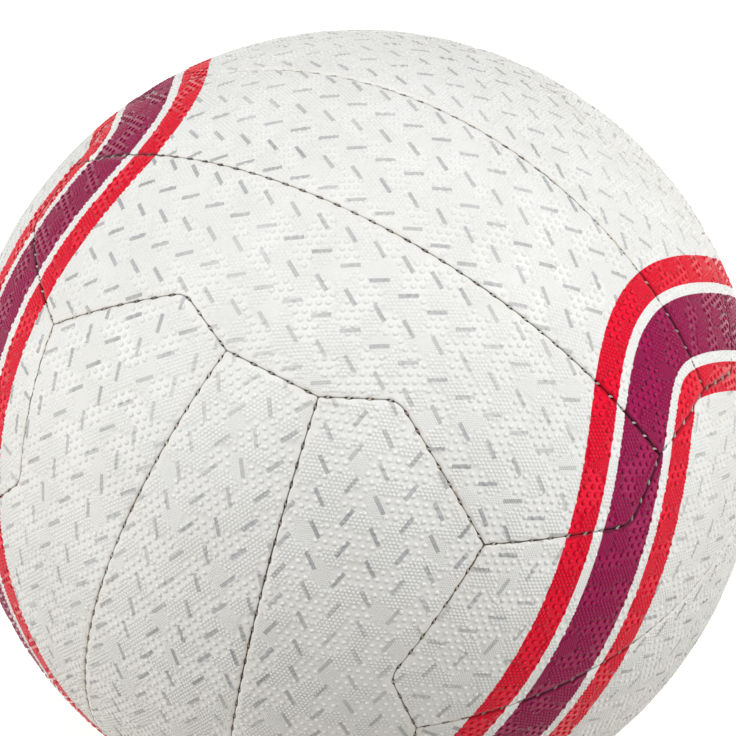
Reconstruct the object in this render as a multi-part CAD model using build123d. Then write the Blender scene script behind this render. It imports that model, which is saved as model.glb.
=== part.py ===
from build123d import *
import os
from math import pi, radians, sin, sqrt, tan

# A hand-stitched netball: eighteen rubber panels on cloth linings, sewn together over a valved bladder.
# Six groups of three strips face the six axes, and the strips of neighbouring groups run at right angles.
# The origin is the ball's centre, and the valve is on the +Y side.

# Driving dimensions, in millimetres
ball_circumference = 700.0
cover_thickness = 1.3
lining_thickness = 1.2
lip_thickness = 1.2  # the cover's turned-in edge, all round its lining
seam_edge_radius = 2.0  # rounding of a panel's edge where it dips into a seam
corner_radius = 3.0  # rounding of a panel's corners
bulge_radius = 6.0  # rounding of the corner where an outer strip bulges past its group
bladder_wall = 0.7
bladder_clearance = 0.05
thread_diameter = 0.6
stitch_length = 1.2
stitch_pitch = 5.2
stitch_clearance = 0.05
valve_stem_diameter = 7.0
valve_stem_clearance = 0.1
valve_recess = 0.6  # depth of the valve's face below the ball's surface
valve_flange_diameter = 24.0
valve_flange_thickness = 1.2
valve_housing_diameter = 11.0
valve_housing_depth = 14.0  # from the bladder's inner face
valve_core_diameter = 4.4
needle_bore_diameter = 2.0
needle_bore_depth = 13.0
needle_lead_in = 0.5  # chamfer at the mouth of the needle's bore

# Layout of the seams, in degrees on the ball from the middle of a group
strip_seam_angle = 11.63
strip_end_angle = 53.80
bulge_across_angle = 29.15
bulge_along_angle = 58.32

# Angle of each stitch to its seam, in degrees
stitch_slant_angle = 45.0

# Radii of the layers
ball_radius = ball_circumference / (2 * pi)
cover_inner_radius = ball_radius - cover_thickness
lining_inner_radius = cover_inner_radius - lining_thickness
bladder_radius = lining_inner_radius - bladder_clearance
bladder_inner_radius = bladder_radius - bladder_wall

# Corners of the panels, each with its rounding: x across and y along the strips, on the plane that touches
# the unit sphere at the middle of a group, where every great circle is a straight line
strip_corner = (tan(radians(strip_seam_angle)), tan(radians(strip_end_angle)), corner_radius)
bulge_corner = (tan(radians(bulge_across_angle)), tan(radians(bulge_along_angle)), bulge_radius)
group_corner = (1.0, 1.0, corner_radius)

# Each group's direction across its strips, its outward direction, the sides of its two outer strips and
# the sides of its two ends
GROUPS = {
    "top": ((0, -1, 0), (0, 0, 1), ("front", "back"), ("right", "left")),
    "bottom": ((0, -1, 0), (0, 0, -1), ("front", "back"), ("left", "right")),
    "right": ((0, 0, 1), (1, 0, 0), ("upper", "lower"), ("front", "back")),
    "left": ((0, 0, 1), (-1, 0, 0), ("upper", "lower"), ("back", "front")),
    "front": ((1, 0, 0), (0, -1, 0), ("right", "left"), ("top", "bottom")),
    "back": ((1, 0, 0), (0, 1, 0), ("right", "left"), ("bottom", "top")),
}
VALVE_GROUP = "back"
HALF_TURN = Rotation(0, 0, 180)


def group_place(name):
    """The place of a group: x across its strips, y along them, z outwards from the ball's centre."""
    across, outward = GROUPS[name][:2]
    return Plane(origin=(0, 0, 0), x_dir=across, z_dir=outward).location


# Outlines of the panels
def seen_from_neighbour(corner):
    """A corner of the neighbouring group's end, on this group's plane."""
    across, along, rounding = corner
    return (1 / along, across / along, rounding)


def other_end(corners):
    """The same corners at the other end of the strip, in the order that goes on round the outline."""
    return [(x, -y, rounding) for x, y, rounding in reversed(corners)]


def middle_outline():
    """Corners of a group's middle strip."""
    x, y, rounding = strip_corner
    end = [(x, y, rounding), (-x, y, rounding)]
    return end + other_end(end)


def outer_outline():
    """Corners of a group's outer strip: its bulging end, then the zigzag end of the neighbouring group."""
    end = [strip_corner, bulge_corner, group_corner]
    zigzag = [seen_from_neighbour(bulge_corner), seen_from_neighbour(strip_corner)]
    return end + zigzag + other_end(end + zigzag)


# Panels, made on the +Z side
def shell(outer_radius, inner_radius):
    """A hollow ball whose poles and closing line lie away from the +Z side."""
    turned = Rotation(0, 90, 0)
    return turned * Sphere(outer_radius) - turned * Sphere(inner_radius)


def wedge(outline, height):
    """A pyramid with its tip at the ball's centre, through an outline."""
    corners = [Vector(x, y, 1) * height for x, y, _ in outline]
    return Solid.make_loft([Vertex(0, 0, 0), Wire.make_polygon(corners)], ruled=True)


def corner_edge(block, corner, wall):
    """The edge of a block that runs through its wall at one of the outline's corners."""
    direction = Vector(corner[0], corner[1], 1).normalized()
    through = [edge for edge in block.edges() if abs((edge @ 0).length - (edge @ 1).length) > wall / 2]
    return min(through, key=lambda edge: ((edge @ 0.5).normalized() - direction).length)


def panel_block(outline, outer_radius, inner_radius):
    """A solid with a panel's outline and rounded corners, between two radii."""
    block = wedge(outline, 2 * outer_radius) & shell(outer_radius, inner_radius)
    for corner in outline:
        block = block.fillet(corner[2], [corner_edge(block, corner, outer_radius - inner_radius)])
    return block


def panel(outline):
    """The cover of one panel, a tray with a turned-in lip, and the lining that fills the tray."""
    block = panel_block(outline, ball_radius, lining_inner_radius)
    surface = max(block.faces().filter_by(GeomType.SPHERE), key=lambda face: face.area)
    block = block.fillet(seam_edge_radius, surface.edges())
    around_lining = panel_block(
        outline, cover_inner_radius + lip_thickness, lining_inner_radius - lip_thickness
    )
    lining = offset(around_lining, amount=-lip_thickness, kind=Kind.INTERSECTION).solid()
    return block - lining, lining


# Stitching
def on_ball(point):
    """The place on the ball's surface in the direction of a point."""
    return point.normalized() * ball_radius


def corner_arc(before, corner, after, rounding):
    """Start, middle and end of the arc that rounds a corner of a seam."""
    to_before = (before - corner * corner.dot(before)).normalized()
    to_after = (after - corner * corner.dot(after)).normalized()
    half_angle = radians(to_before.get_angle(to_after) / 2)
    setback = rounding / tan(half_angle)
    cut = rounding / sin(half_angle) - rounding
    inwards = (to_before + to_after).normalized()
    steps = (to_before * setback, inwards * cut, to_after * setback)
    return [on_ball(on_ball(corner) + step) for step in steps]


def seam_path(outline):
    """The middle line of a seam over the ball: great-circle runs, with its inner corners rounded."""
    directions = [Vector(x, y, 1).normalized() for x, y, _ in outline]
    stops = [[on_ball(directions[0])]]
    for i in range(1, len(outline) - 1):
        stops.append(corner_arc(*directions[i - 1:i + 2], outline[i][2]))
    stops.append([on_ball(directions[-1])])
    arcs = [ThreePointArc(*stop) for stop in stops[1:-1]]
    for stop, following in zip(stops, stops[1:]):
        start, finish = stop[-1], following[0]
        arcs.append(ThreePointArc(start, on_ball(start + finish), finish))
    return Wire(arcs)


def stitch_depth():
    """Depth of a stitch's axis below the ball's surface, where its ends rest on both rounded panel edges."""
    sideways = stitch_length / 2 * sin(radians(stitch_slant_angle))
    reach = seam_edge_radius + thread_diameter / 2 + stitch_clearance
    return seam_edge_radius - sqrt(reach**2 - (seam_edge_radius - sideways) ** 2)


def stitches(path):
    """Slanting lengths of thread in the groove of a seam, evenly spaced along it."""
    bar = Rotation(0, 90, 0) * Cylinder(thread_diameter / 2, stitch_length)
    slant = Rotation(0, 0, stitch_slant_angle)
    count = round(path.length / stitch_pitch)
    bars = []
    for i in range(count):
        spot = (i + 0.5) / count
        outward = (path @ spot).normalized()
        seat = Plane(origin=outward * (ball_radius - stitch_depth()), x_dir=path % spot, z_dir=outward)
        bars.append(bar.solid().moved(seat.location * slant))
    return bars


# Bladder and valve, with the valve on the +Z side
def valve_hole():
    """The hole that the valve's stem goes through in the cover, the lining and the bladder."""
    radius = valve_stem_diameter / 2 + valve_stem_clearance
    return Cylinder(radius, 2 * ball_radius, align=(Align.CENTER, Align.CENTER, Align.MIN))


def upright(diameter, low, high):
    """A cylinder on the valve's axis between two heights."""
    bottom = (Align.CENTER, Align.CENTER, Align.MIN)
    return Pos(0, 0, low) * Cylinder(diameter / 2, high - low, align=bottom)


valve_face = ball_radius - valve_recess
valve_foot = bladder_inner_radius - valve_housing_depth


def valve_boot():
    """The rubber housing inside the bladder, its flange under the bladder's wall and its stem to the outside."""
    flange = shell(bladder_inner_radius, bladder_inner_radius - valve_flange_thickness)
    flange &= upright(valve_flange_diameter, 0, ball_radius)
    housing = upright(valve_housing_diameter, valve_foot, ball_radius) & Sphere(bladder_inner_radius)
    stem = upright(valve_stem_diameter, valve_foot, valve_face)
    return (flange + housing + stem - upright(valve_core_diameter, 0, ball_radius)).solid()


def valve_core():
    """The plug pressed into the boot, with the blind bore for an inflating needle."""
    plug = upright(valve_core_diameter, valve_foot, valve_face)
    plug -= upright(needle_bore_diameter, valve_face - needle_bore_depth, ball_radius)
    mouth = plug.faces().sort_by(Axis.Z)[-1].inner_wires()[0].edges()
    return chamfer(mouth, needle_lead_in).solid()


def bladder():
    """The air-tight sphere inside the linings."""
    return (shell(bladder_radius, bladder_inner_radius) - valve_hole()).solid()


def make_nodes():
    """Every piece of the ball in its place, by name."""
    middle_cover, middle_lining = panel(middle_outline())
    outer_cover, outer_lining = panel(outer_outline())
    x, y, _ = strip_corner
    strip_stitches = stitches(seam_path([(x, -y, 0), (x, y, 0)]))
    strip_stitches += [bar.moved(HALF_TURN) for bar in strip_stitches]
    half_end = [group_corner, bulge_corner, strip_corner]
    end_outline = half_end + [(-x, y, rounding) for x, y, rounding in reversed(half_end)]
    end_stitches = stitches(seam_path(end_outline))
    nodes = {}
    for group, (_, _, strip_sides, end_sides) in GROUPS.items():
        place = group_place(group)
        hole = valve_hole() if group == VALVE_GROUP else None
        nodes[f"cover_{group}_middle"] = place * (middle_cover - hole if hole else middle_cover)
        nodes[f"lining_{group}_middle"] = place * (middle_lining - hole if hole else middle_lining)
        nodes[f"stitching_{group}_strips"] = place * Compound(strip_stitches)
        for turn, strip_side, end_side in zip((Location(), HALF_TURN), strip_sides, end_sides):
            nodes[f"cover_{group}_{strip_side}"] = place * turn * outer_cover
            nodes[f"lining_{group}_{strip_side}"] = place * turn * outer_lining
            nodes[f"stitching_{group}_{end_side}_end"] = place * turn * Compound(end_stitches)
    valve_place = group_place(VALVE_GROUP)
    nodes["bladder"] = valve_place * bladder()
    nodes["valve_boot"] = valve_place * valve_boot()
    nodes["valve_core"] = valve_place * valve_core()
    return nodes


def main():
    os.makedirs("parts", exist_ok=True)
    for name, piece in make_nodes().items():
        export_step(piece, f"parts/{name}.step")


if __name__ == "__main__":
    main()
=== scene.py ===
from collections import namedtuple
from math import asin, ceil, cos, pi, radians, sin, tan

import bpy
import numpy as np
from mathutils import Matrix, Vector
from mathutils.geometry import delaunay_2d_cdt


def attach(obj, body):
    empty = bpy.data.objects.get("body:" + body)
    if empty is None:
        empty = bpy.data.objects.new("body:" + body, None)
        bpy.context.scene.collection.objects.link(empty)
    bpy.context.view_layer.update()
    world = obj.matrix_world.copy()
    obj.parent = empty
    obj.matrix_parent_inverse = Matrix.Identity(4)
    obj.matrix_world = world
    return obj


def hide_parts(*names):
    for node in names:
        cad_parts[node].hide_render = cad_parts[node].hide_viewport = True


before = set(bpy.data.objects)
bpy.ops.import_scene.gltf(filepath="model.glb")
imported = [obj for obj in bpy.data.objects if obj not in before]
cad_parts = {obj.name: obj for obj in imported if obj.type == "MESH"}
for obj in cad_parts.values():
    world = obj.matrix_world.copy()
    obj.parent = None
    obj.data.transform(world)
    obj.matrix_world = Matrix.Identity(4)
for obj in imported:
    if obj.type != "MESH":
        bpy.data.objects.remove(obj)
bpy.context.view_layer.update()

# A hand-stitched netball: pimpled rubber panels with a plain printed ribbon and ticks, sewn with twisted
# thread. Panels and stitches are worked out in millimetres and in the directions of their group, as in the
# solids: x across its strips, y along them and z outwards.

MILLIMETRE = 0.001
ROOT_THREE = 3**0.5


def srgb(red, green, blue):
    """A colour written in screen values from 0 to 255, by the standard curve of screens."""
    values = np.array([red, green, blue]) / 255
    linear = np.where(values <= 0.04045, values / 12.92, ((values + 0.055) / 1.055) ** 2.4)
    return (*linear.tolist(), 1.0)


# Sizes of the ball
ball_circumference = 700.0
cover_thickness = 1.3
lining_thickness = 1.2
lip_thickness = 0.5  # thinner than on the solids
corner_radius = 0.7  # tighter than on the solids, so that no hole shows where three panels meet
bulge_radius = 6.0
valve_hole_radius = 3.6
valve_hole_rounding = 0.5

# Layout of the seams
strip_seam_angle = radians(11.63)
strip_end_angle = radians(53.80)
bulge_across_angle = radians(29.15)
bulge_along_angle = radians(58.32)
outer_strip_tilt = radians(24.6)  # from the middle of a group to the middle of its outer strip

# Stitches of twisted thread
thread_diameter = 0.6
thread_plies = 2
ply_swell = 1.15  # how much thicker a ply is than half the thread, because the plies press together
ply_sides = 7
ply_steps = 12
ply_twist = 1.6 * pi  # turn of the plies over one stitch
stitch_length = 1.2
stitch_pitch = 5.2
stitch_slant = radians(35)  # less than on the solids, as thread that is pulled tight lies
stitch_reach = 1.7  # length of a stitch with the ends that dip into the panels, as a share of its length
stitch_top = 0.45  # depth of the middle of a stitch below the ball's surface
stitch_dip = 0.35  # how much deeper its ends are

# How a panel meets its seam: its edge is tighter than the solid's, and each stitch draws it in
drawn_edge_radius = 0.5
pucker_radius = 0.8  # added to the edge's radius at a stitch
pucker_reach = 1.1  # distance from a stitch over which that fades
pillow_drop = 0.10  # how far the face sinks towards the seam, beside its rounded edge
pillow_reach = 2.5  # distance from the seam over which that fades

# Pimples, in patches like the faces of stacked blocks, each patch with one size: their distance from each
# other, their radius at the foot and at the shoulder, their height and sides, and how much dark colour is
# painted round their feet, partly grime and partly painted shade of the hollows
Pimple = namedtuple("Pimple", "pitch foot shoulder height sides dust")
PIMPLES = [
    Pimple(pitch=2.4, foot=0.72, shoulder=0.56, height=0.35, sides=8, dust=0.20),
    Pimple(pitch=1.1, foot=0.55, shoulder=0.36, height=0.25, sides=6, dust=0.07),
    Pimple(pitch=0.66, foot=0.33, shoulder=0.20, height=0.13, sides=6, dust=0.07),
]
shoulder_height = 0.80  # as a share of the pimple's height
level_ring = 0.14  # width of the level ring round the foot of a pimple that stands clear of its neighbours
patch_side = 6.5  # length of the edges of a block's faces
pimples_start = 0.45  # distance from the seam where the pimples begin
pimples_full = 1.5  # distance from the seam where they have their full height
lowest_pimple = 0.4  # height of the pimples where they begin, as a share of their full height

# Mesh of a panel
row_distances = np.array((0.1, 0.22, 0.4, 0.65, 1.0))  # rows of points along the seams
row_share = 0.98  # a row's points that lie nearer to the seam than this share of its distance are left out
hole_row_distances = (0.0, 0.12, 0.3, 0.5)  # rows of points round the valve
outline_step = 0.45
arc_points = 12  # on the rounding of each corner
inner_step = 6.0  # between the points on the back
chart_tolerance = 1e-6  # points that lie nearer to each other count as one
block_size = 1000  # about how many points are compared with all others at once

# Flat map of a panel: the columns of its face, its back and its walls, and the rows of all three
FLAT_MAP = "OFBake"
face_columns = (0.01, 0.70)
back_columns = (0.72, 0.90)
wall_columns = (0.91, 0.99)
wall_share = 0.8  # how much of its column a wall fills
map_rows = (0.01, 0.99)

# Printed ribbon, which waves about the ball's waist, and the edges of its stripes from the middle outwards
ribbon_swing = radians(46)
ribbon_turn = radians(-40)
ribbon_waves = 2
ribbon_points = 720  # along its middle line
purple_edge = 8.0
white_edge = 11.0
red_edge = 19.0

# Printed ticks, in rows along each strip
tick_length = 5.2
tick_width = 1.1
tick_pitch = 8.4
tick_row_pitch = 7.6
tick_angle = radians(32)

# Colours
plain_white = (1.0, 1.0, 1.0, 1.0)
white_rubber = srgb(238, 238, 236)
off_white = srgb(232, 232, 229)
grey_ink = srgb(162, 164, 166)
red_ink = srgb(240, 0, 42)
# A darker red that is painted shade on the red ink
shaded_red_ink = srgb(140, 0, 18)
purple_ink = srgb(162, 0, 79)
# A darker purple that is painted shade on the purple ink
shaded_purple_ink = srgb(44, 0, 20)
ink_sheen = (1.0, 0.35, 0.58, 1.0)  # tint of what the ribbon's ink reflects
# A dark brown that is partly grime and partly painted shade, along the seams and round the feet of the
# pimples
dirt_and_shade_colour = srgb(44, 36, 31)
seam_stain = srgb(212, 203, 186)
clean_thread = srgb(238, 233, 228)
worn_thread = srgb(206, 194, 184)
soiled_thread = srgb(84, 70, 61)
pale_cloth = srgb(206, 200, 186)
dark_cloth = srgb(184, 178, 164)
bladder_black = srgb(30, 30, 31)
bladder_powder = srgb(58, 57, 56)
valve_black = srgb(26, 26, 27)
valve_grey = srgb(52, 51, 50)
floor_colour = srgb(208, 202, 190)

# Finish of the cover: a patch is the size of an uneven stretch, and a grain that of a fine roughness
print_blur = 0.12
tone_patch = 18.0
tick_fade_patch = 35.0
faded_tick = 0.35  # ink that is left where the ticks are most faded
tick_grain = 0.9
thin_tick = 0.75  # ink that is left where the grain of the ticks is thinnest
ink_foot_shade = 7.5  # how much stronger the painted shade round the pimples' feet is on the ink
seam_ink_shade_reach = 0.9  # distance from a seam where the painted shade on the ink has faded to a half
seam_ink_shade = 0.75  # how strong the painted shade on the ink is at the seam
stain_reach = 0.8  # distance from a seam where the stain has faded to a half
stain_patch = 14.0
strongest_stain = 0.55
opening_length = 1.9  # of the painted shadow in the opening at each stitch
opening_width = 0.38
# Line along each seam, partly grime and partly painted shade of the groove
seam_line_patch = 2.5
thinnest_seam_line = 0.04
widest_seam_line = 0.30
seam_line_blur = 0.2
seam_dirt_and_shade_patch = 40.0
strongest_seam_dirt_and_shade = 0.9
gloss_patch = 6.0
smoothest_rubber = 0.26  # roughness
dullest_rubber = 0.34
ink_gloss = 0.09  # how much smoother the ribbon's ink is than the bare rubber
rubber_shine = 0.22  # specular level
rubber_grain = 0.22
rubber_grain_depth = 0.02

# Finish of the thread and of the pieces inside
thread_tone_patch = 2.5
thread_soil_patch = 30.0
thread_fibre = 0.12
thread_fibre_depth = 0.03
cloth_tone_patch = 4.0
cloth_weave = 0.5
cloth_weave_depth = 0.08
bladder_powder_patch = 9.0
bladder_grain = 0.5
bladder_grain_depth = 0.04
valve_wear_patch = 1.2
valve_gloss_patch = 0.8
smoothest_valve = 0.38  # roughness
dullest_valve = 0.55
valve_grain = 0.3
valve_grain_depth = 0.02
noise_detail = 2.0
noise_low = 0.3  # nearly all values of the noise lie between these two
noise_high = 0.7

# Each group's direction across its strips, its outward direction, the sides of its two outer strips and
# the sides of its two ends
GROUPS = {
    "top": ((0, -1, 0), (0, 0, 1), ("front", "back"), ("right", "left")),
    "bottom": ((0, -1, 0), (0, 0, -1), ("front", "back"), ("left", "right")),
    "right": ((0, 0, 1), (1, 0, 0), ("upper", "lower"), ("front", "back")),
    "left": ((0, 0, 1), (-1, 0, 0), ("upper", "lower"), ("back", "front")),
    "front": ((1, 0, 0), (0, -1, 0), ("right", "left"), ("top", "bottom")),
    "back": ((1, 0, 0), (0, 1, 0), ("right", "left"), ("bottom", "top")),
}
VALVE_GROUP = "back"
TURNS = (np.eye(3), np.diag((-1.0, -1.0, 1.0)))  # to one side of a group, and half a turn to its other side

# Camera, fitted to the photograph: the ball's outline in pixels and the direction of view
image_size = 736
outline_centre = (359.42, 428.09)
outline_radius = 398.21
camera_azimuth = radians(21.57)
camera_elevation = radians(50.58)
camera_roll = radians(9.93)
camera_distance = 0.9962
sensor_width = 36.0

# Stage in metres and watts: each lamp's direction is given along right, up and back of the camera
Lamp = namedtuple("Lamp", "name direction size power")
LAMPS = [
    Lamp("left_light", direction=(-0.9, 0.2, 0.4), size=0.6, power=7.6),
    Lamp("right_light", direction=(0.7, 0.55, 0.45), size=0.35, power=6.2),
    Lamp("low_right_light", direction=(0.95, -0.2, 0.25), size=0.5, power=2.5),
    Lamp("overhead_light", direction=(0.05, 0.4, 0.91), size=0.9, power=6.8),
]
lamp_distance = 1.3
floor_size = 12.0
surrounding_light = 0.30
backdrop_white = 0.90  # as bright as the far floor, so that no line shows between them
floor_glow = 0.72

# Sizes that follow, with the corners of the panels, each with its rounding, on the plane that touches the
# unit sphere at a group's middle
ball_radius = ball_circumference / (2 * pi)
strip_corner = (tan(strip_seam_angle), tan(strip_end_angle), corner_radius)
bulge_corner = (tan(bulge_across_angle), tan(bulge_along_angle), bulge_radius)
group_corner = (1.0, 1.0, corner_radius)


# Outlines on the ball
def seen_from_neighbour(corner):
    """A corner of the neighbouring group's end, on this group's plane."""
    across, along, rounding = corner
    return (1 / along, across / along, rounding)


def other_end(corners):
    """The same corners at the other end of the strip, in the order that goes on round the outline."""
    return [(x, -y, rounding) for x, y, rounding in reversed(corners)]


def middle_outline():
    """Corners of a group's middle strip."""
    x, y, rounding = strip_corner
    end = [(x, y, rounding), (-x, y, rounding)]
    return end + other_end(end)


def outer_outline():
    """Corners of a group's outer strip: its bulging end, then the zigzag end of the neighbouring group."""
    end = [strip_corner, bulge_corner, group_corner]
    end += [seen_from_neighbour(bulge_corner), seen_from_neighbour(strip_corner)]
    return end + other_end(end)


def unit(vectors):
    """The same directions at length one."""
    return vectors / np.linalg.norm(vectors, axis=-1, keepdims=True)


def corner_arc(before, corner, after, rounding):
    """Points of the arc that rounds a corner, over the ball."""
    to_before = unit(before - corner * (corner @ before))
    to_after = unit(after - corner * (corner @ after))
    half_angle = np.arccos(to_before @ to_after) / 2
    centre = unit(to_before + to_after) * rounding / sin(half_angle)
    setback = rounding / tan(half_angle)
    start = to_before * setback - centre
    finish = to_after * setback - centre
    share = np.linspace(0, 1, arc_points)[:, None]
    arc = centre + rounding * unit((1 - share) * start + share * finish)
    return unit(corner * ball_radius + arc)


def path_over_ball(corners, closed):
    """Directions along great-circle runs between rounded corners, and how far along the path each is."""
    directions = unit(np.array([(x, y, 1.0) for x, y, _ in corners]))
    count = len(corners)
    rounded = range(count) if closed else range(1, count - 1)
    stops = [directions[:1]] if not closed else []
    for i in rounded:
        before, corner, after = directions[i - 1], directions[i], directions[(i + 1) % count]
        stops.append(corner_arc(before, corner, after, corners[i][2]))
    stops.append(stops[0][:1] if closed else directions[-1:])
    points = np.vstack(stops)
    dense = [points[:1]]
    for start, finish in zip(points, points[1:]):
        share = np.linspace(0, 1, 1 + ceil(np.linalg.norm(finish - start) * ball_radius / outline_step))
        dense.append(unit(start + share[1:, None] * (finish - start)))
    dense = np.vstack(dense)
    reach = np.r_[0, np.cumsum(np.linalg.norm(np.diff(dense, axis=0), axis=1))]
    return dense, reach * ball_radius


def evenly(dense, reach, spots):
    """Directions at the given distances along a path."""
    return unit(np.column_stack([np.interp(spots, reach, column) for column in dense.T]))


def blocks(count):
    """Numbers up to a count, in runs that are short enough to be compared with all others at once."""
    return np.array_split(np.arange(count), 1 + count // block_size)


# Seams and the places of their stitches
def strip_seam():
    """Corners of the seam between a group's middle strip and its outer strip on the +x side."""
    x, y, _ = strip_corner
    return [(x, -y, 0), (x, y, 0)]


def end_seam():
    """Corners of the seam along a group's end on the +y side."""
    half = [group_corner, bulge_corner, strip_corner]
    return half + [(-x, y, rounding) for x, y, rounding in reversed(half)]


def stitch_spots(corners):
    """Outward and forward directions of the stitches, evenly spaced along a seam."""
    dense, reach = path_over_ball(corners, closed=False)
    count = round(reach[-1] / stitch_pitch)
    spots = (np.arange(count) + 0.5) * reach[-1] / count
    outward = evenly(dense, reach, spots)
    ahead = evenly(dense, reach, spots + outline_step) - evenly(dense, reach, spots - outline_step)
    return outward, unit(ahead - outward * (ahead * outward).sum(1, keepdims=True))


def stitch_distance(directions):
    """Distance of places on a panel from the nearest stitch of the seams round it."""
    seams = [strip_seam(), end_seam(), [seen_from_neighbour(corner) for corner in end_seam()]]
    spots = np.vstack([stitch_spots(seam)[0] for seam in seams])
    spots = np.vstack([spots * (x, y, 1) for x in (1, -1) for y in (1, -1)])
    nearest = np.concatenate([(directions[block] @ spots.T).max(1) for block in blocks(len(directions))])
    return ball_radius * np.arccos(np.clip(nearest, -1, 1))


# Flat chart of a strip: x across and y along it, in millimetres
def tilt_matrix(tilt):
    """Turn from the middle of a group towards an outer strip."""
    return np.array([[cos(tilt), 0, sin(tilt)], [0, 1, 0], [-sin(tilt), 0, cos(tilt)]])


def to_chart(directions, tilt):
    """Chart places of directions from the ball's centre."""
    x, y, z = (directions @ tilt_matrix(tilt)).T
    return ball_radius * np.column_stack([np.arcsin(x), np.arctan2(y, z)])


def from_chart(chart, tilt):
    """Directions from the ball's centre of chart places."""
    across, along = (chart / ball_radius).T
    x = np.sin(across)
    y = np.cos(across) * np.sin(along)
    z = np.cos(across) * np.cos(along)
    return np.column_stack([x, y, z]) @ tilt_matrix(tilt).T


def flat_outline(outline, tilt):
    """A panel's outline on its chart at even steps, anticlockwise, and its inward direction at each."""
    dense, reach = path_over_ball(outline, closed=True)
    count = round(reach[-1] / outline_step)
    edge = to_chart(evenly(dense, reach, np.arange(count) * reach[-1] / count), tilt)
    following = np.roll(edge, -1, axis=0)
    area = np.sum(edge[:, 0] * following[:, 1] - edge[:, 1] * following[:, 0])
    if area < 0:
        edge = edge[::-1]
    ahead = unit(np.roll(edge, -1, axis=0) - np.roll(edge, 1, axis=0))
    inward = np.column_stack([-ahead[:, 1], ahead[:, 0]])
    return edge, inward


def edge_distance(points, edge, inward):
    """Distance of chart points from the outline, below zero outside it."""
    found = np.empty(len(points))
    for block in blocks(len(points)):
        apart = points[block, None] - edge[None]
        squared = (apart**2).sum(2)
        nearest = squared.argmin(1)
        gap = apart[np.arange(len(block)), nearest]
        side = np.sign((gap * inward[nearest]).sum(1))
        found[block] = side * np.sqrt(squared.min(1))
    return found


# Pimples
def block_grade(places):
    """The size of the pimples at each place, by its number in PIMPLES.

    A block is a hexagon of three faces that meet at its middle. Two of them always have the first two
    sizes, and the size on the third varies from block to block.
    """
    column_pitch = patch_side * ROOT_THREE
    row_pitch = patch_side * 1.5
    row = np.floor(places[:, 1] / row_pitch)
    best = np.full(len(places), np.inf)
    grade = np.zeros(len(places), int)
    for near_row in (row, row + 1):
        shift = (near_row % 2) / 2
        column = np.round(places[:, 0] / column_pitch - shift)
        offset = places - np.column_stack([(column + shift) * column_pitch, near_row * row_pitch])
        apart = (offset**2).sum(1)
        turn = (np.arctan2(offset[:, 1], offset[:, 0]) - pi / 2) % (2 * pi)
        face = np.minimum(turn // (2 * pi / 3), 2)
        varied = (column + near_row) % 3
        nearer = apart < best
        grade[nearer] = np.where(face == 2, varied, face)[nearer]
        best[nearer] = apart[nearer]
    return grade


NEIGHBOURS = np.array([(1, 0), (0, 1), (-1, 1), (-1, 0), (0, -1), (1, -1)])  # on a triangular lattice


def lattice_points(steps, pitch):
    """Chart places of steps along the two directions of a triangular lattice."""
    i, j = steps.T
    return pitch * np.column_stack([i + j / 2, j * ROOT_THREE / 2])


def lattice_steps(low, high, pitch):
    """Steps to all places of a triangular lattice in a chart rectangle."""
    row_pitch = pitch * ROOT_THREE / 2
    rows = np.arange(int(low[1] / row_pitch) - 1, int(high[1] / row_pitch) + 2)
    widest = int(max(-low[0], high[0]) / pitch + abs(rows).max()) + 2
    i, j = np.meshgrid(np.arange(-widest, widest + 1), rows)
    steps = np.column_stack([i.ravel(), j.ravel()])
    points = lattice_points(steps, pitch)
    return steps[((points > low) & (points < high)).all(1)]


def clear_of(points, others, gaps):
    """Whether each point is further from all of the other points than their gaps."""
    clear = np.ones(len(points), bool)
    for block in blocks(len(points)):
        apart = np.linalg.norm(points[block, None] - others[None], axis=2)
        clear[block] = (apart > gaps).all(1)
    return clear


def ring_points(centres, radius, count):
    """Chart places on a circle round each centre."""
    turn = np.arange(count) * 2 * pi / count
    ring = radius * np.column_stack([np.cos(turn), np.sin(turn)])
    return (centres[:, None] + ring).reshape(-1, 2)


def stands_clear(pimple):
    """Whether pimples of a size leave room between them."""
    return 2 * pimple.foot < pimple.pitch


def foot_points(steps, pimple):
    """Chart places at the feet of pimples: a ring round each, or the spots where neighbours touch."""
    if stands_clear(pimple):
        return ring_points(lattice_points(steps, pimple.pitch), pimple.foot, pimple.sides)
    half_steps = (2 * steps[:, None] + NEIGHBOURS).reshape(-1, 2)
    return lattice_points(np.unique(half_steps, axis=0), pimple.pitch / 2)


def smooth_rise(value, start, finish):
    """Zero before start, one after finish, and an even slope between them."""
    share = np.clip((value - start) / (finish - start), 0, 1)
    return share * share * (3 - 2 * share)


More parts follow.
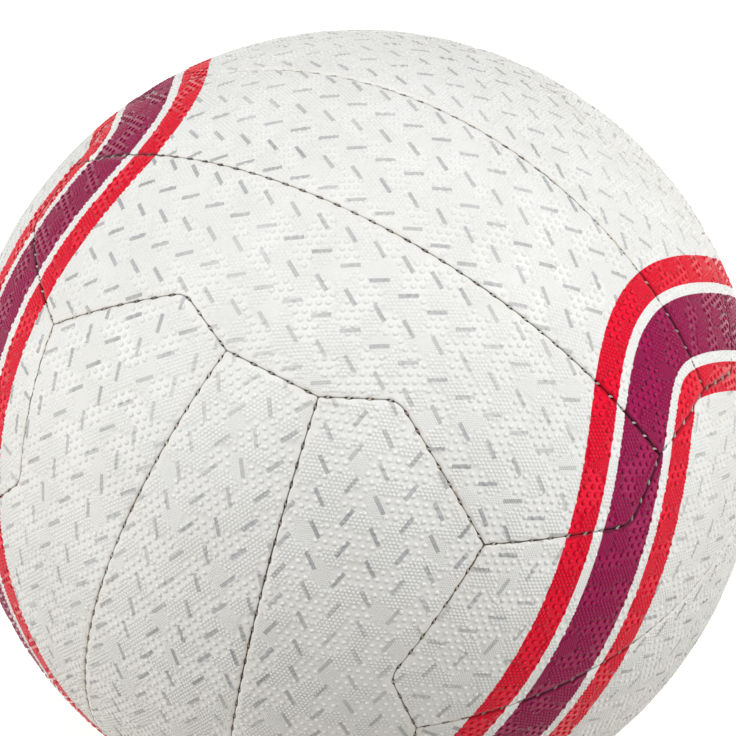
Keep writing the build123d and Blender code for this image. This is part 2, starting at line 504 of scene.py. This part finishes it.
def pimple_points(low, high, clearance):
    """Chart points, heights, and grime with painted shade round the feet of all pimples, then their
    centres and the radii of their feet.

    The function clearance gives the distance of places from the panel's edges.
    """
    points, heights, dust = [], [], []
    taken, taken_feet = np.empty((0, 2)), np.empty(0)
    for grade, pimple in enumerate(PIMPLES):
        steps = lattice_steps(low, high, pimple.pitch)
        steps = steps[block_grade(lattice_points(steps, pimple.pitch)) == grade]
        steps = steps[clearance(lattice_points(steps, pimple.pitch)) > pimples_start + pimple.foot]
        steps = steps[clear_of(lattice_points(steps, pimple.pitch), taken, taken_feet + pimple.foot)]
        centres = lattice_points(steps, pimple.pitch)
        grown = smooth_rise(clearance(centres), pimples_start, pimples_full)
        height = pimple.height * (lowest_pimple + (1 - lowest_pimple) * grown)
        feet = foot_points(steps, pimple)
        feet = feet[clear_of(feet, taken, taken_feet)]
        shoulders = ring_points(centres, pimple.shoulder, pimple.sides)
        level_sides = pimple.sides if stands_clear(pimple) else 0
        level = ring_points(centres, pimple.foot + level_ring, level_sides)
        points += [centres, shoulders, feet, level]
        heights += [height, np.repeat(shoulder_height * height, pimple.sides)]
        heights += [np.zeros(len(feet) + len(level))]
        dust += [np.zeros(len(centres) + len(shoulders))]
        dust += [np.full(len(feet), pimple.dust), np.zeros(len(level))]
        taken = np.vstack([taken, centres])
        taken_feet = np.r_[taken_feet, np.full(len(centres), pimple.foot)]
    return np.vstack(points), np.concatenate(heights), np.concatenate(dust), taken, taken_feet


# Panels
def rounded_drop(distance, radius):
    """How far a rounded edge lies below the surface at a distance from it."""
    inside = np.clip(radius - distance, 0, radius)
    return radius - np.sqrt(radius**2 - inside**2)


def triangles(points, loops):
    """Triangles over chart points, inside the first loop and outside the second, the valve's hole."""
    places = [Vector(point) for point in points]
    bounds = [(int(a), int(b)) for loop in loops for a, b in zip(loop, np.roll(loop, -1))]
    inside_only = 1  # the kind of result that holds only triangles inside the bounds
    _, _, faces, sources, _, _ = delaunay_2d_cdt(places, bounds, [], inside_only, chart_tolerance)
    first = np.array([source[0] for source in sources])
    faces = first[np.array(faces)]
    if len(loops) > 1:
        centres = points[faces].mean(1)
        faces = faces[np.linalg.norm(centres, axis=1) > valve_hole_radius * cos(pi / len(loops[1]))]
    return faces


def hole_ring(distance):
    """Chart points round the valve's hole, clockwise, at a distance from its edge."""
    count = ceil(2 * pi * valve_hole_radius / outline_step)
    turn = -np.arange(count) * 2 * pi / count
    return (valve_hole_radius + distance) * np.column_stack([np.cos(turn), np.sin(turn)])


def strip_of_quads(first, second):
    """Faces between two closed rows of points."""
    return np.column_stack([first, second, np.roll(second, -1), np.roll(first, -1)])


def between(limits, share):
    """Values at shares of the way from one limit to the other."""
    low, high = limits
    return low + (high - low) * share


def store(mesh, name, values):
    """Keeps one value for each point of a mesh, under a name."""
    mesh.attributes.new(name, "FLOAT", "POINT").data.foreach_set("value", values)


class PanelShape:
    """A panel in its group's directions: a pimpled face, a turned-in lip and a plain back."""

    def __init__(self, outline, tilt, has_valve):
        edge, inward = flat_outline(outline, tilt)

        def from_hole(places):
            return np.linalg.norm(places, axis=1) - valve_hole_radius

        def clearance(places):
            distance = edge_distance(places, edge, inward)
            return np.minimum(distance, from_hole(places)) if has_valve else distance

        rows = np.vstack([edge + inward * distance for distance in row_distances])
        rows = rows[edge_distance(rows, edge, inward) > row_share * np.repeat(row_distances, len(edge))]
        hole_rows = [hole_ring(distance) for distance in hole_row_distances] if has_valve else []
        pimples, rise, dust, centres, feet = pimple_points(edge.min(0), edge.max(0), clearance)
        rows = rows[clear_of(rows, centres, feet)]
        chart = np.vstack([edge, *hole_rows, rows, pimples])
        distance = edge_distance(chart, edge, inward)
        distance[:len(edge)] = 0
        stitch = stitch_distance(from_chart(chart, tilt))
        radius = drawn_edge_radius + pucker_radius * np.exp(-((stitch / pucker_reach) ** 2))
        height = -rounded_drop(distance, radius) - pillow_drop * np.exp(-distance / pillow_reach)
        height[-len(rise):] += rise
        if has_valve:
            height -= rounded_drop(from_hole(chart), valve_hole_rounding)
        self.build(edge, inward, chart, distance, height, has_valve)
        hidden = len(self.chart) - len(chart)  # points of the lip and the back
        self.stitch = np.r_[stitch, np.full(hidden, stitch_pitch)]
        self.dust = np.r_[np.zeros(len(chart) - len(dust)), dust, np.zeros(hidden)]
        self.points = from_chart(self.chart, tilt) * (ball_radius + self.height)[:, None]

    def build(self, edge, inward, face_chart, face_distance, face_height, has_valve):
        """Joins the face, the lip and the back into one closed shape."""
        count = len(edge)
        rim = np.arange(count)
        back_level = -cover_thickness
        lip_level = back_level - lining_thickness
        lip = edge + inward * lip_thickness
        back = lattice_points(lattice_steps(edge.min(0), edge.max(0), inner_step), inner_step)
        back = back[edge_distance(back, edge, inward) > lip_thickness + inner_step / 2]
        hole = np.empty((0, 2))
        loops = [rim]
        if has_valve:
            hole = hole_ring(0)
            back = back[np.linalg.norm(back, axis=1) > valve_hole_radius + inner_step / 2]
            loops.append(count + np.arange(len(hole)))
        back_chart = np.vstack([lip, hole, back])
        back_height = np.full(len(back_chart), back_level)
        wall_start = len(face_chart)
        lip_start = wall_start + count
        back_start = lip_start + count
        self.chart = np.vstack([face_chart, edge, lip, back_chart])
        self.distance = np.r_[face_distance, np.zeros(2 * count + len(back_chart))]
        self.height = np.r_[face_height, np.full(2 * count, lip_level), back_height]
        self.face = triangles(face_chart, loops)
        self.back = triangles(back_chart, loops)[:, ::-1] + back_start
        self.walls = [
            strip_of_quads(rim, wall_start + rim),
            strip_of_quads(wall_start + rim, lip_start + rim),
            strip_of_quads(lip_start + rim, back_start + rim),
        ]
        if has_valve:
            self.walls.append(strip_of_quads(loops[1], back_start + loops[1]))

    def mesh(self, name):
        """The shape as a mesh with a flat map, and what its material needs to know at each point."""
        made = bpy.data.meshes.new(name)
        polygons = self.face.tolist() + self.back.tolist() + np.vstack(self.walls).tolist()
        made.from_pydata((self.points * MILLIMETRE).tolist(), [], polygons)
        made.polygons.foreach_set("use_smooth", np.ones(len(polygons), bool))
        chart = np.column_stack([self.chart, np.zeros(len(self.chart))])
        made.attributes.new("chart", "FLOAT_VECTOR", "POINT").data.foreach_set("vector", chart.ravel())
        store(made, "seam", self.distance)
        store(made, "stitch", self.stitch)
        store(made, "dust", self.dust)
        made.uv_layers.new(name=FLAT_MAP).data.foreach_set("uv", self.flat_map().ravel())
        made.update()
        return made

    def flat_map(self):
        """Places on the flat map for every face corner: the face, the back and the walls side by side."""
        low, high = self.chart.min(0), self.chart.max(0)
        share = (self.chart - low) / (high - low)
        places = []
        for columns, faces in ((face_columns, self.face), (back_columns, self.back)):
            across, along = share[faces.ravel()].T
            places.append(np.column_stack([between(columns, across), between(map_rows, along)]))
        left, last_right = wall_columns
        width = (last_right - left) / len(self.walls)
        for quads in self.walls:
            count = len(quads)
            right = left + wall_share * width
            start = np.arange(count) / count
            finish = start + 1 / count
            across = np.tile((left, right, right, left), count)
            along = np.column_stack([start, start, finish, finish]).ravel()
            places.append(np.column_stack([across, between(map_rows, along)]))
            left += width
        return np.vstack(places)


def group_matrix(group):
    """A group's directions as columns: across its strips, along them, outwards."""
    across, outward = (np.array(direction, float) for direction in GROUPS[group][:2])
    return np.column_stack([across, np.cross(outward, across), outward])


def ribbon_distance(directions):
    """Distance over the ball from the middle line of the printed ribbon."""
    longitude = np.linspace(0, 2 * pi, ribbon_points, endpoint=False)
    latitude = ribbon_swing * np.sin(ribbon_waves * (longitude - ribbon_turn))
    line = np.column_stack([
        np.cos(latitude) * np.cos(longitude), np.cos(latitude) * np.sin(longitude), np.sin(latitude),
    ])
    nearest = (directions @ line.T).max(1)
    return ball_radius * np.arccos(np.clip(nearest, -1, 1))


def add_piece(name, mesh, material, node):
    """A piece that stands for one node of the solids."""
    mesh.materials.append(material)
    piece = bpy.data.objects.new(name, mesh)
    bpy.context.scene.collection.objects.link(piece)
    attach(piece, "root")
    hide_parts(node)


def add_panel(node, shape, base, place, material):
    """One panel in its place, from the mesh of its shape."""
    points = shape.points @ place.T
    mesh = base.copy()
    mesh.vertices.foreach_set("co", (points * MILLIMETRE).ravel())
    store(mesh, "ribbon", ribbon_distance(unit(points)))
    mesh.update()
    add_piece(node.replace("cover", "panel"), mesh, material, node)


def add_panels(material):
    """All eighteen panels."""
    middle = PanelShape(middle_outline(), 0.0, has_valve=False)
    valved = PanelShape(middle_outline(), 0.0, has_valve=True)
    outer = PanelShape(outer_outline(), outer_strip_tilt, has_valve=False)
    bases = {shape: shape.mesh("panel") for shape in (middle, valved, outer)}
    for group, (_, _, strip_sides, _) in GROUPS.items():
        place = group_matrix(group)
        shape = valved if group == VALVE_GROUP else middle
        add_panel(f"cover_{group}_middle", shape, bases[shape], place, material)
        for turn, side in zip(TURNS, strip_sides):
            add_panel(f"cover_{group}_{side}", outer, bases[outer], place @ turn, material)
    for base in bases.values():
        bpy.data.meshes.remove(base)


# Stitches
def stitch_shape():
    """Points and faces of one arched length of twisted thread: x along it, z outwards."""
    ply_offset = thread_diameter / 4
    ply_radius = ply_swell * thread_diameter / 4
    around = np.arange(ply_sides) * 2 * pi / ply_sides
    ring = ply_radius * np.column_stack([np.zeros(ply_sides), np.cos(around), np.sin(around)])
    share = np.linspace(-1, 1, ply_steps)
    points, faces = [], []
    for ply in range(thread_plies):
        turn = ply_twist * share / 2 + ply * 2 * pi / thread_plies
        middle = np.column_stack([
            share * stitch_length * stitch_reach / 2,
            ply_offset * np.cos(turn),
            ply_offset * np.sin(turn) - stitch_dip * share**2,
        ])
        points.append((middle[:, None] + ring[None]).reshape(-1, 3))
        start = ply * ply_steps * ply_sides
        rows = start + np.arange(ply_steps * ply_sides).reshape(ply_steps, ply_sides)
        for row, following in zip(rows, rows[1:]):
            faces += strip_of_quads(row, following).tolist()
        faces += [rows[0].tolist(), rows[-1, ::-1].tolist()]
    return np.vstack(points), faces


def stitch_run(corners, turn):
    """Points and faces of the stitches along one seam."""
    outward, ahead = stitch_spots(corners)
    sideways = np.cross(outward, ahead)
    along = cos(stitch_slant) * ahead + sin(stitch_slant) * sideways
    across = np.cross(outward, along)
    shape, faces = stitch_shape()
    points = (
        (outward * (ball_radius - stitch_top))[:, None]
        + shape[None, :, :1] * along[:, None]
        + shape[None, :, 1:2] * across[:, None]
        + shape[None, :, 2:] * outward[:, None]
    )
    made = [[corner + i * len(shape) for corner in face] for i in range(len(outward)) for face in faces]
    return points.reshape(-1, 3) @ turn.T, made


def add_stitching(node, corners, turns, place, material):
    """The stitches of a seam as one piece, with the seam at one or more turns about the group's middle."""
    points, faces = [], []
    for turn in turns:
        run_points, run_faces = stitch_run(corners, turn)
        start = sum(len(row) for row in points)
        faces += [[corner + start for corner in face] for face in run_faces]
        points.append(run_points @ place.T)
    mesh = bpy.data.meshes.new(node)
    mesh.from_pydata((np.vstack(points) * MILLIMETRE).tolist(), [], faces)
    mesh.polygons.foreach_set("use_smooth", np.ones(len(faces), bool))
    mesh.update()
    add_piece(node.replace("stitching", "thread"), mesh, material, node)


def add_all_stitching(material):
    """The stitches of every group's two strip seams and two ends."""
    for group, (_, _, _, end_sides) in GROUPS.items():
        place = group_matrix(group)
        add_stitching(f"stitching_{group}_strips", strip_seam(), TURNS, place, material)
        for turn, side in zip(TURNS, end_sides):
            add_stitching(f"stitching_{group}_{side}_end", end_seam(), [turn], place, material)


# Materials
class Shader:
    """Short ways to add nodes to one material."""

    def __init__(self, name):
        self.material = bpy.data.materials.new(name)
        self.material.use_nodes = True
        self.tree = self.material.node_tree
        self.surface = self.tree.nodes["Principled BSDF"]

    def set(self, socket, value):
        """Sets a socket to a value, or links it to another socket."""
        if isinstance(value, bpy.types.NodeSocket):
            self.tree.links.new(value, socket)
        else:
            socket.default_value = value

    def node(self, kind, values=(), **settings):
        """A new node with its settings and input values."""
        made = self.tree.nodes.new(kind)
        for key, value in settings.items():
            setattr(made, key, value)
        for key, value in dict(values).items():
            self.set(made.inputs[key], value)
        return made

    def finish(self, **values):
        """Sets the surface's own inputs, with spaces written as underscores."""
        for key, value in values.items():
            self.set(self.surface.inputs[key.replace("_", " ")], value)
        return self.material

    def math(self, operation, *values, clamp=False):
        """The result of a sum on one to three values."""
        made = self.node("ShaderNodeMath", enumerate(values), operation=operation, use_clamp=clamp)
        return made.outputs[0]

    def attribute(self, name, output="Fac"):
        """A value stored on the mesh."""
        return self.node("ShaderNodeAttribute", attribute_name=name).outputs[output]

    def below(self, value, limit, blur):
        """One where a value is under a limit, zero above it, with a soft edge."""
        gap = self.math("SUBTRACT", limit, value)
        return self.math("MULTIPLY_ADD", gap, 1 / blur, 0.5, clamp=True)

    def from_middle(self, value, pitch):
        """How far a value, counted in pitches, lies past the middle of its own pitch."""
        share = self.math("SUBTRACT", self.math("FRACT", value), 0.5)
        return self.math("MULTIPLY", share, pitch)

    def mix(self, factor, first, second):
        """A colour between two colours, which the node takes as inputs 6 and 7 and gives as output 2."""
        made = self.node("ShaderNodeMix", {0: factor, 6: first, 7: second}, data_type="RGBA")
        return made.outputs[2]

    def position(self):
        """The place on the piece in metres."""
        return self.node("ShaderNodeTexCoord").outputs["Object"]

    def noise(self, size, low=0.0, high=1.0):
        """Uneven patches of about the given size in millimetres, between two values."""
        scale = 1 / (size * MILLIMETRE)
        texture = self.node(
            "ShaderNodeTexNoise",
            {"Vector": self.position(), "Scale": scale, "Detail": noise_detail},
        )
        spread = {"From Min": noise_low, "From Max": noise_high, "To Min": low, "To Max": high}
        return self.node("ShaderNodeMapRange", {"Value": texture.outputs[0], **spread}).outputs[0]

    def bump(self, height, depth):
        """A normal from a height between zero and one, with its depth in millimetres."""
        values = {"Height": height, "Strength": 1.0, "Distance": depth * MILLIMETRE}
        return self.node("ShaderNodeBump", values).outputs[0]


def printed_ticks(shader):
    """How much grey ink lies on a place: slanted ticks, turned the other way in every second row."""
    chart = shader.node("ShaderNodeSeparateXYZ", {0: shader.attribute("chart", "Vector")})
    row = shader.math("DIVIDE", chart.outputs[0], tick_row_pitch)
    spot = shader.math("DIVIDE", chart.outputs[1], tick_pitch)
    parity = shader.math("FLOORED_MODULO", shader.math("FLOOR", row), 2.0)
    staggered = shader.math("MULTIPLY_ADD", parity, 0.5, spot)
    side = shader.math("MULTIPLY_ADD", parity, 2.0, -1.0)
    across = shader.math("MULTIPLY", shader.from_middle(row, tick_row_pitch), side)
    along = shader.from_middle(staggered, tick_pitch)
    length_part = shader.math("MULTIPLY", across, sin(tick_angle))
    reach = shader.math("MULTIPLY_ADD", along, cos(tick_angle), length_part)
    width_part = shader.math("MULTIPLY", along, -sin(tick_angle))
    breadth = shader.math("MULTIPLY_ADD", across, cos(tick_angle), width_part)
    in_length = shader.below(shader.math("ABSOLUTE", reach), tick_length / 2, print_blur)
    in_width = shader.below(shader.math("ABSOLUTE", breadth), tick_width / 2, print_blur)
    ink = shader.math("MULTIPLY", in_length, in_width)
    faded = shader.noise(tick_fade_patch, low=faded_tick)
    wear = shader.math("MULTIPLY", faded, shader.noise(tick_grain, low=thin_tick))
    return shader.math("MULTIPLY", ink, wear)


def bare_rubber(shader):
    """White rubber with printed ticks, stains along the seams, and grime with painted shade round the
    pimples.
    """
    colour = shader.mix(shader.noise(tone_patch), white_rubber, off_white)
    colour = shader.mix(printed_ticks(shader), colour, grey_ink)
    near_seam = shader.below(shader.attribute("seam"), stain_reach, 2 * stain_reach)
    stained = shader.math("MULTIPLY", near_seam, shader.noise(stain_patch, high=strongest_stain))
    colour = shader.mix(stained, colour, seam_stain)
    # Grime and painted shade in the hollows round the feet of the pimples
    return shader.mix(shader.attribute("dust"), colour, dirt_and_shade_colour)


def ink_shade(shader):
    """How much painted shade lies on the ribbon's ink: round the feet of the pimples and along the seams.
    """
    foot_shade = shader.math("MULTIPLY", shader.attribute("dust"), ink_foot_shade, clamp=True)
    by_seam = shader.below(shader.attribute("seam"), seam_ink_shade_reach, seam_ink_shade_reach)
    return shader.math("MAXIMUM", foot_shade, shader.math("MULTIPLY", by_seam, seam_ink_shade))


def seam_shadow(shader):
    """How dark a place by a seam is: an uneven line of grime and painted shade along the seam, and a
    painted shadow in the opening at each stitch.
    """
    seam = shader.attribute("seam")
    stitch = shader.math("DIVIDE", shader.attribute("stitch"), opening_length / 2)
    squared = shader.math("MULTIPLY", stitch, stitch)
    apart = shader.math("MULTIPLY_ADD", squared, opening_width / 2, seam)
    # Painted shadow in the opening at each stitch
    opening = shader.below(apart, opening_width, opening_width / 2)
    width = shader.noise(seam_line_patch, low=thinnest_seam_line, high=widest_seam_line)
    # Strength of the line along the seam, which is partly grime and partly painted shade
    dirt_and_shade = shader.noise(seam_dirt_and_shade_patch, high=strongest_seam_dirt_and_shade)
    line = shader.math("MULTIPLY", shader.below(seam, width, seam_line_blur), dirt_and_shade)
    return shader.math("MAXIMUM", opening, line)


def cover_rubber():
    """Printed white rubber, stained along its seams, with painted shade round the pimples and in the seams.
    """
    shader = Shader("cover_rubber")
    colour = bare_rubber(shader)
    # Painted shade on the ribbon's ink, round the feet of the pimples and along the seams
    depth = ink_shade(shader)
    red = shader.mix(depth, red_ink, shaded_red_ink)
    # The white stripe keeps the grime and painted shade round the feet of the pimples
    white = shader.mix(shader.attribute("dust"), white_rubber, dirt_and_shade_colour)
    purple = shader.mix(depth, purple_ink, shaded_purple_ink)
    away = shader.attribute("ribbon")
    in_ribbon = shader.below(away, red_edge, print_blur)
    in_white = shader.below(away, white_edge, print_blur)
    in_purple = shader.below(away, purple_edge, print_blur)
    for inside, stripe in ((in_ribbon, red), (in_white, white), (in_purple, purple)):
        colour = shader.mix(inside, colour, stripe)
    # Grime and painted shade along the seams, and painted shadows in the stitch openings
    colour = shader.mix(seam_shadow(shader), colour, dirt_and_shade_colour)
    inked = shader.math("ADD", shader.math("SUBTRACT", in_ribbon, in_white), in_purple)
    bare = shader.noise(gloss_patch, low=smoothest_rubber, high=dullest_rubber)
    return shader.finish(
        Base_Color=colour,
        Roughness=shader.math("MULTIPLY_ADD", in_ribbon, -ink_gloss, bare),
        Specular_IOR_Level=rubber_shine,
        Specular_Tint=shader.mix(inked, plain_white, ink_sheen),
        Normal=shader.bump(shader.noise(rubber_grain), rubber_grain_depth),
    )


def stitching_thread():
    """Waxed cream thread, with soiled stretches."""
    shader = Shader("stitching_thread")
    colour = shader.mix(shader.noise(thread_tone_patch), clean_thread, worn_thread)
    colour = shader.mix(shader.noise(thread_soil_patch), colour, soiled_thread)
    return shader.finish(
        Base_Color=colour,
        Roughness=0.7,
        Normal=shader.bump(shader.noise(thread_fibre), thread_fibre_depth),
    )


def lining_cloth():
    """Plain woven cotton laminate."""
    shader = Shader("lining_cloth")
    checks = {"Vector": shader.position(), "Scale": 1 / (cloth_weave * MILLIMETRE)}
    weave = shader.node("ShaderNodeTexChecker", checks).outputs["Fac"]
    return shader.finish(
        Base_Color=shader.mix(shader.noise(cloth_tone_patch), pale_cloth, dark_cloth),
        Roughness=0.85,
        Normal=shader.bump(weave, cloth_weave_depth),
    )


def bladder_rubber():
    """Dull black rubber with a dusting of powder."""
    shader = Shader("bladder_rubber")
    return shader.finish(
        Base_Color=shader.mix(shader.noise(bladder_powder_patch), bladder_black, bladder_powder),
        Roughness=0.6,
        Normal=shader.bump(shader.noise(bladder_grain), bladder_grain_depth),
    )


def valve_rubber():
    """Smooth black moulded rubber, worn grey where needles have rubbed it."""
    shader = Shader("valve_rubber")
    return shader.finish(
        Base_Color=shader.mix(shader.noise(valve_wear_patch), valve_black, valve_grey),
        Roughness=shader.noise(valve_gloss_patch, low=smoothest_valve, high=dullest_valve),
        Normal=shader.bump(shader.noise(valve_grain), valve_grain_depth),
    )


def dress_solids():
    """Gives the solids that stay their materials."""
    dressed = {"lining": lining_cloth(), "bladder": bladder_rubber(), "valve": valve_rubber()}
    for name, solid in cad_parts.items():
        material = dressed.get(name.split("_")[0])
        if material:
            for slot in solid.material_slots:
                slot.material = material


# Stage
def view_directions():
    """Right, up and back directions of the camera."""
    azimuth, elevation = camera_azimuth, camera_elevation
    back = Vector((sin(azimuth) * cos(elevation), -cos(azimuth) * cos(elevation), sin(elevation)))
    level_right = Vector((cos(azimuth), sin(azimuth), 0))
    level_up = back.cross(level_right)
    right = cos(camera_roll) * level_right + sin(camera_roll) * level_up
    return right, back.cross(right), back


def aimed(location, target, up):
    """The placing of a camera or lamp that looks from a location at a target."""
    back = (location - target).normalized()
    right = up.cross(back).normalized()
    turn = Matrix((right, back.cross(right), back)).transposed()
    return Matrix.Translation(location) @ turn.to_4x4()


def add_camera():
    """The photograph's camera: the ball's outline falls on the same pixels."""
    right, up, back = view_directions()
    focal_pixels = outline_radius / tan(asin(ball_radius * MILLIMETRE / camera_distance))
    per_pixel = camera_distance / focal_pixels
    target = right * (image_size / 2 - outline_centre[0]) * per_pixel
    target += up * (outline_centre[1] - image_size / 2) * per_pixel
    camera = bpy.data.objects.new("camera", bpy.data.cameras.new("camera"))
    camera.data.sensor_width = sensor_width
    camera.data.lens = focal_pixels * sensor_width / image_size
    camera.matrix_world = aimed(back * camera_distance, target, up)
    bpy.context.scene.collection.objects.link(camera)
    bpy.context.scene.camera = camera


def add_lamp(name, direction, size, power):
    """A square soft box that faces the ball."""
    right, up, back = view_directions()
    toward = (right * direction[0] + up * direction[1] + back * direction[2]).normalized()
    lamp = bpy.data.objects.new(name, bpy.data.lights.new(name, "AREA"))
    lamp.data.size = size
    lamp.data.energy = power
    lamp.matrix_world = aimed(toward * lamp_distance, Vector(), up)
    bpy.context.scene.collection.objects.link(lamp)


def seen_directly(tree):
    """One for what is seen, also in gloss or through glass, and zero for light that falls on the ball."""
    path = tree.nodes.new("ShaderNodeLightPath")
    total = path.outputs["Is Camera Ray"]
    for other in ("Is Glossy Ray", "Is Transmission Ray"):
        larger = tree.nodes.new("ShaderNodeMath")
        larger.operation = "MAXIMUM"
        tree.links.new(total, larger.inputs[0])
        tree.links.new(path.outputs[other], larger.inputs[1])
        total = larger.outputs[0]
    return total


def add_floor():
    """A white floor at the tips of the lowest pimples, which keeps the ball's shadow."""
    lowest = -(ball_radius + PIMPLES[0].height) * MILLIMETRE
    half = floor_size / 2
    corners = [(-half, -half, lowest), (half, -half, lowest), (half, half, lowest), (-half, half, lowest)]
    mesh = bpy.data.meshes.new("floor")
    mesh.from_pydata(corners, [], [(0, 1, 2, 3)])
    shader = Shader("floor_white")
    mesh.materials.append(shader.finish(
        Base_Color=floor_colour,
        Roughness=0.9,
        Specular_IOR_Level=0.0,
        Emission_Color=plain_white,
        Emission_Strength=shader.math("MULTIPLY", seen_directly(shader.tree), floor_glow),
    ))
    floor = bpy.data.objects.new("floor", mesh)
    bpy.context.scene.collection.objects.link(floor)


def add_world():
    """Even white surroundings."""
    world = bpy.data.worlds.new("studio")
    world.use_nodes = True
    bpy.context.scene.world = world
    tree = world.node_tree
    background = tree.nodes["Background"]
    background.inputs["Color"].default_value = plain_white
    strength = tree.nodes.new("ShaderNodeMapRange")
    strength.inputs["To Min"].default_value = surrounding_light
    strength.inputs["To Max"].default_value = backdrop_white
    tree.links.new(seen_directly(tree), strength.inputs["Value"])
    tree.links.new(strength.outputs[0], background.inputs["Strength"])


add_panels(cover_rubber())
add_all_stitching(stitching_thread())
dress_solids()
add_camera()
add_world()
add_floor()
for lamp in LAMPS:
    add_lamp(*lamp)
bpy.context.scene.view_settings.view_transform = "Standard"
